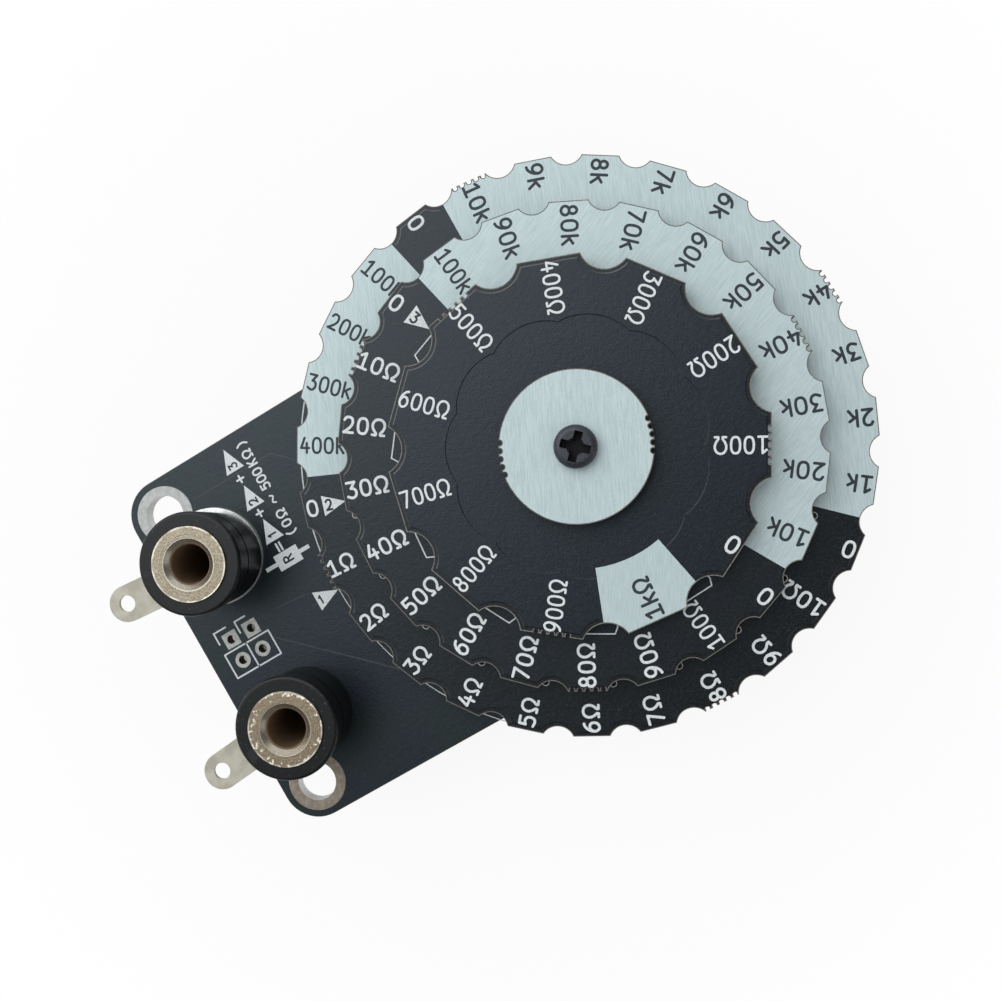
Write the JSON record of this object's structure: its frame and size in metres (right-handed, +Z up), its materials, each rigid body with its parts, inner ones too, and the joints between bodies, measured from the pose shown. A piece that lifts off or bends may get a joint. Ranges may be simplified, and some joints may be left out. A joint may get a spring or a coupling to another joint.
{
  "type": "programmable resistor board",
  "caption": "Circuit board with two plug sockets and a stack of notched dial discs that turn about a centre screw to set a resistance.",
  "frame": {"origin": "middle of the two mounting holes, on the underside of the base board", "axes": "+X from the socket end to the centre screw of the discs, +Y across the board, +Z up out of the board's face"},
  "size_m": [0.0835, 0.0586, 0.0251],
  "materials": {
    "circuit_board": "black solder mask, half gloss",
    "black_plastic": "moulded black plastic",
    "nickel": "nickel plated brass",
    "tinned_board": "tinned and brushed",
    "black_steel": "blackened steel",
    "steel": "plated steel",
    "brass": "turned brass",
    "nylon": "natural nylon",
    "tin": "tinned copper",
    "spring_bronze": "rolled bronze strip",
    "resistor": "ceramic chip with tinned ends"
  },
  "bodies": {
    "base": {"base_board": "circuit_board", "socket_1_collar": "black_plastic", "socket_1_insert": "nickel", "socket_1_ring_washer": "nickel", "socket_1_insulator": "black_plastic", "socket_1_solder_lug": "nickel", "socket_1_nut": "nickel", "socket_2_collar": "black_plastic", "socket_2_insert": "nickel", "socket_2_insulator": "black_plastic", "socket_2_solder_lug": "nickel", "socket_2_nut": "nickel", "base_tap_pads": "tin", "resistors_1_ohm": "resistor", "resistors_1_kilohm": "resistor", "resistors_100_kilohm": "resistor", "centre_sleeve": "brass", "spacer_lower": "nylon", "spacer_middle": "nylon", "spacer_upper": "nylon", "spring_washer": "steel", "cap_disc": "tinned_board", "centre_screw": "black_steel", "centre_nut_washer": "steel", "centre_nut": "steel"},
    "disc_1": {"disc_1_board": "circuit_board", "disc_1_contact": "spring_bronze", "disc_1_tap_pads": "tin", "resistors_10_ohm": "resistor", "resistors_10_kilohm": "resistor"},
    "disc_2": {"disc_2_board": "circuit_board", "disc_2_contact": "spring_bronze", "disc_2_tap_pads": "tin", "resistors_100_ohm": "resistor"},
    "disc_3": {"disc_3_board": "circuit_board", "disc_3_contact": "spring_bronze"}
  },
  "joints": [
    {"name": "disc_1_turn", "type": "hinge", "parent": "base", "child": "disc_1", "pos_m": [0.0422, 0, 0.0036], "axis": [0, 0, 1], "continuous": true},
    {"name": "disc_2_turn", "type": "hinge", "parent": "disc_1", "child": "disc_2", "pos_m": [0.0422, 0, 0.0064], "axis": [0, 0, 1], "continuous": true},
    {"name": "disc_3_turn", "type": "hinge", "parent": "disc_2", "child": "disc_3", "pos_m": [0.0422, 0, 0.0092], "axis": [0, 0, 1], "continuous": true}
  ]
}
